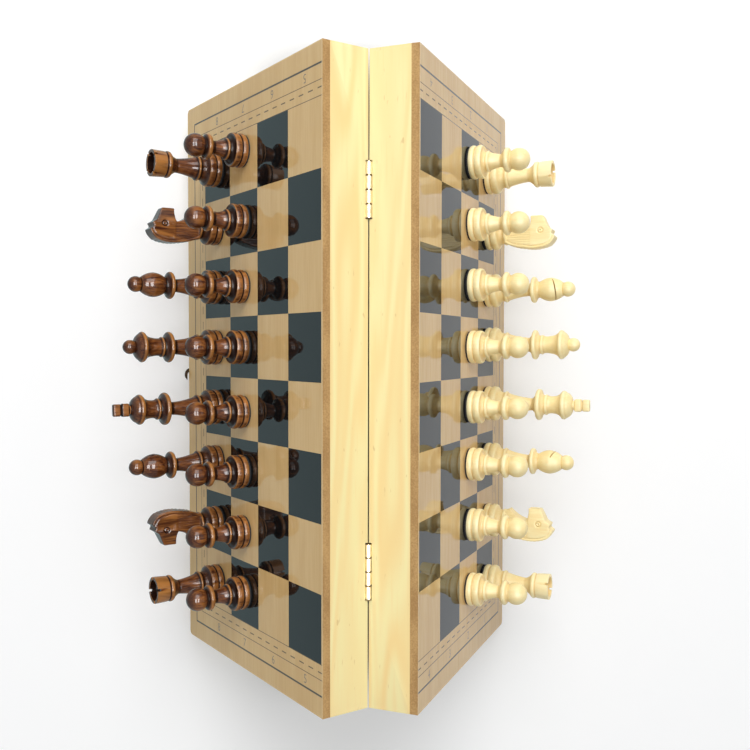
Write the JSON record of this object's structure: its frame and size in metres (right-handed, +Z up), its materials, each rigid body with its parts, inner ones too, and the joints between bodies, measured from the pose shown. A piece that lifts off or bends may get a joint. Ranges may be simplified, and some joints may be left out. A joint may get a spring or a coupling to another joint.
{
  "type": "folding magnetic chess set",
  "caption": "Folding wooden chess board standing open like a tent, its magnetic turned chess men held on the outside, with storage pockets inside.",
  "frame": {"origin": "on the surface it stands on, midway between the two free rims and midway along the board", "axes": "+Z up, +Y along the hinge line towards the queen's-side rooks (the h-file end), +X towards the pale men's half"},
  "size_m": [0.2415, 0.29, 0.1386],
  "materials": {
    "printed_panel": "printed veneer under gloss lacquer, on fibreboard",
    "pine_rails": "clear satin varnish on pine",
    "steel_sheet": "thin mild steel sheet",
    "tray_felt": "green felt",
    "storage_foam": "black foam with a flocked face",
    "hinge_metal": "plated, bright",
    "clasp_bronze": "dark bronze",
    "pale_men": "clear satin lacquer; black felt under the foot",
    "dark_men": "dark brown stain under gloss lacquer; black felt under the foot"
  },
  "bodies": {
    "white_half": {"white_play_panel": "printed_panel", "white_steel_sheet": "steel_sheet", "white_tray_liner": "tray_felt", "white_spine_rail": "pine_rails", "white_front_rail": "pine_rails", "white_end_rails": "pine_rails", "white_foam_strips": "storage_foam", "white_foam_dividers": "storage_foam", "white_hinge_leaf_1": "hinge_metal", "white_hinge_leaf_2": "hinge_metal", "white_hinge_screws": "hinge_metal", "hinge_pins": "hinge_metal", "catch_peg": "clasp_bronze", "catch_plate": "clasp_bronze"},
    "black_half": {"black_play_panel": "printed_panel", "black_steel_sheet": "steel_sheet", "black_tray_liner": "tray_felt", "black_spine_rail": "pine_rails", "black_front_rail": "pine_rails", "black_end_rails": "pine_rails", "black_foam_strips": "storage_foam", "black_foam_dividers": "storage_foam", "black_hinge_leaf_1": "hinge_metal", "black_hinge_leaf_2": "hinge_metal", "black_hinge_screws": "hinge_metal", "clasp_plate": "clasp_bronze", "clasp_rivet": "clasp_bronze"},
    "clasp": {"clasp_hook": "clasp_bronze"},
    "white_rook_1": {"white_rook_1": "pale_men"},
    "white_knight_1": {"white_knight_1": "pale_men"},
    "white_bishop_1": {"white_bishop_1": "pale_men"},
    "white_queen": {"white_queen": "pale_men"},
    "white_king": {"white_king": "pale_men"},
    "white_bishop_2": {"white_bishop_2": "pale_men"},
    "white_knight_2": {"white_knight_2": "pale_men"},
    "white_rook_2": {"white_rook_2": "pale_men"},
    "white_pawn_1": {"white_pawn_1": "pale_men"},
    "white_pawn_2": {"white_pawn_2": "pale_men"},
    "white_pawn_3": {"white_pawn_3": "pale_men"},
    "white_pawn_4": {"white_pawn_4": "pale_men"},
    "white_pawn_5": {"white_pawn_5": "pale_men"},
    "white_pawn_6": {"white_pawn_6": "pale_men"},
    "white_pawn_7": {"white_pawn_7": "pale_men"},
    "white_pawn_8": {"white_pawn_8": "pale_men"},
    "black_rook_1": {"black_rook_1": "dark_men"},
    "black_knight_1": {"black_knight_1": "dark_men"},
    "black_bishop_1": {"black_bishop_1": "dark_men"},
    "black_queen": {"black_queen": "dark_men"},
    "black_king": {"black_king": "dark_men"},
    "black_bishop_2": {"black_bishop_2": "dark_men"},
    "black_knight_2": {"black_knight_2": "dark_men"},
    "black_rook_2": {"black_rook_2": "dark_men"},
    "black_pawn_1": {"black_pawn_1": "dark_men"},
    "black_pawn_2": {"black_pawn_2": "dark_men"},
    "black_pawn_3": {"black_pawn_3": "dark_men"},
    "black_pawn_4": {"black_pawn_4": "dark_men"},
    "black_pawn_5": {"black_pawn_5": "dark_men"},
    "black_pawn_6": {"black_pawn_6": "dark_men"},
    "black_pawn_7": {"black_pawn_7": "dark_men"},
    "black_pawn_8": {"black_pawn_8": "dark_men"}
  },
  "joints": [
    {"name": "board_fold", "type": "hinge", "parent": "white_half", "child": "black_half", "pos_m": [0, 0, 0.12769], "axis": [0, 1, 0], "range_deg": [-56.4, 123.6]},
    {"name": "clasp_swing", "type": "hinge", "parent": "black_half", "child": "clasp", "pos_m": [-0.07469, 0, 0.00321], "axis": [-0.4726, 0, -0.8813], "range_deg": [-180, 0]},
    {"name": "lift_white_rook_1", "type": "slide", "parent": "white_half", "child": "white_rook_1", "axis": [0.8813, 0, 0.4726], "range_m": [0, 0.07]},
    {"name": "lift_white_knight_1", "type": "slide", "parent": "white_half", "child": "white_knight_1", "axis": [0.8813, 0, 0.4726], "range_m": [0, 0.07]},
    {"name": "lift_white_bishop_1", "type": "slide", "parent": "white_half", "child": "white_bishop_1", "axis": [0.8813, 0, 0.4726], "range_m": [0, 0.08]},
    {"name": "lift_white_queen", "type": "slide", "parent": "white_half", "child": "white_queen", "axis": [0.8813, 0, 0.4726], "range_m": [0, 0.08]},
    {"name": "lift_white_king", "type": "slide", "parent": "white_half", "child": "white_king", "axis": [0.8813, 0, 0.4726], "range_m": [0, 0.08]},
    {"name": "lift_white_bishop_2", "type": "slide", "parent": "white_half", "child": "white_bishop_2", "axis": [0.8813, 0, 0.4726], "range_m": [0, 0.08]},
    {"name": "lift_white_knight_2", "type": "slide", "parent": "white_half", "child": "white_knight_2", "axis": [0.8813, 0, 0.4726], "range_m": [0, 0.07]},
    {"name": "lift_white_rook_2", "type": "slide", "parent": "white_half", "child": "white_rook_2", "axis": [0.8813, 0, 0.4726], "range_m": [0, 0.07]},
    {"name": "lift_white_pawn_1", "type": "slide", "parent": "white_half", "child": "white_pawn_1", "axis": [0.8813, 0, 0.4726], "range_m": [0, 0.06]},
    {"name": "lift_white_pawn_2", "type": "slide", "parent": "white_half", "child": "white_pawn_2", "axis": [0.8813, 0, 0.4726], "range_m": [0, 0.06]},
    {"name": "lift_white_pawn_3", "type": "slide", "parent": "white_half", "child": "white_pawn_3", "axis": [0.8813, 0, 0.4726], "range_m": [0, 0.06]},
    {"name": "lift_white_pawn_4", "type": "slide", "parent": "white_half", "child": "white_pawn_4", "axis": [0.8813, 0, 0.4726], "range_m": [0, 0.06]},
    {"name": "lift_white_pawn_5", "type": "slide", "parent": "white_half", "child": "white_pawn_5", "axis": [0.8813, 0, 0.4726], "range_m": [0, 0.06]},
    {"name": "lift_white_pawn_6", "type": "slide", "parent": "white_half", "child": "white_pawn_6", "axis": [0.8813, 0, 0.4726], "range_m": [0, 0.06]},
    {"name": "lift_white_pawn_7", "type": "slide", "parent": "white_half", "child": "white_pawn_7", "axis": [0.8813, 0, 0.4726], "range_m": [0, 0.06]},
    {"name": "lift_white_pawn_8", "type": "slide", "parent": "white_half", "child": "white_pawn_8", "axis": [0.8813, 0, 0.4726], "range_m": [0, 0.06]},
    {"name": "lift_black_rook_1", "type": "slide", "parent": "black_half", "child": "black_rook_1", "axis": [-0.8813, 0, 0.4726], "range_m": [0, 0.07]},
    {"name": "lift_black_knight_1", "type": "slide", "parent": "black_half", "child": "black_knight_1", "axis": [-0.8813, 0, 0.4726], "range_m": [0, 0.07]},
    {"name": "lift_black_bishop_1", "type": "slide", "parent": "black_half", "child": "black_bishop_1", "axis": [-0.8813, 0, 0.4726], "range_m": [0, 0.08]},
    {"name": "lift_black_queen", "type": "slide", "parent": "black_half", "child": "black_queen", "axis": [-0.8813, 0, 0.4726], "range_m": [0, 0.08]},
    {"name": "lift_black_king", "type": "slide", "parent": "black_half", "child": "black_king", "axis": [-0.8813, 0, 0.4726], "range_m": [0, 0.08]},
    {"name": "lift_black_bishop_2", "type": "slide", "parent": "black_half", "child": "black_bishop_2", "axis": [-0.8813, 0, 0.4726], "range_m": [0, 0.08]},
    {"name": "lift_black_knight_2", "type": "slide", "parent": "black_half", "child": "black_knight_2", "axis": [-0.8813, 0, 0.4726], "range_m": [0, 0.07]},
    {"name": "lift_black_rook_2", "type": "slide", "parent": "black_half", "child": "black_rook_2", "axis": [-0.8813, 0, 0.4726], "range_m": [0, 0.07]},
    {"name": "lift_black_pawn_1", "type": "slide", "parent": "black_half", "child": "black_pawn_1", "axis": [-0.8813, 0, 0.4726], "range_m": [0, 0.06]},
    {"name": "lift_black_pawn_2", "type": "slide", "parent": "black_half", "child": "black_pawn_2", "axis": [-0.8813, 0, 0.4726], "range_m": [0, 0.06]},
    {"name": "lift_black_pawn_3", "type": "slide", "parent": "black_half", "child": "black_pawn_3", "axis": [-0.8813, 0, 0.4726], "range_m": [0, 0.06]},
    {"name": "lift_black_pawn_4", "type": "slide", "parent": "black_half", "child": "black_pawn_4", "axis": [-0.8813, 0, 0.4726], "range_m": [0, 0.06]},
    {"name": "lift_black_pawn_5", "type": "slide", "parent": "black_half", "child": "black_pawn_5", "axis": [-0.8813, 0, 0.4726], "range_m": [0, 0.06]},
    {"name": "lift_black_pawn_6", "type": "slide", "parent": "black_half", "child": "black_pawn_6", "axis": [-0.8813, 0, 0.4726], "range_m": [0, 0.06]},
    {"name": "lift_black_pawn_7", "type": "slide", "parent": "black_half", "child": "black_pawn_7", "axis": [-0.8813, 0, 0.4726], "range_m": [0, 0.06]},
    {"name": "lift_black_pawn_8", "type": "slide", "parent": "black_half", "child": "black_pawn_8", "axis": [-0.8813, 0, 0.4726], "range_m": [0, 0.06]}
  ]
}
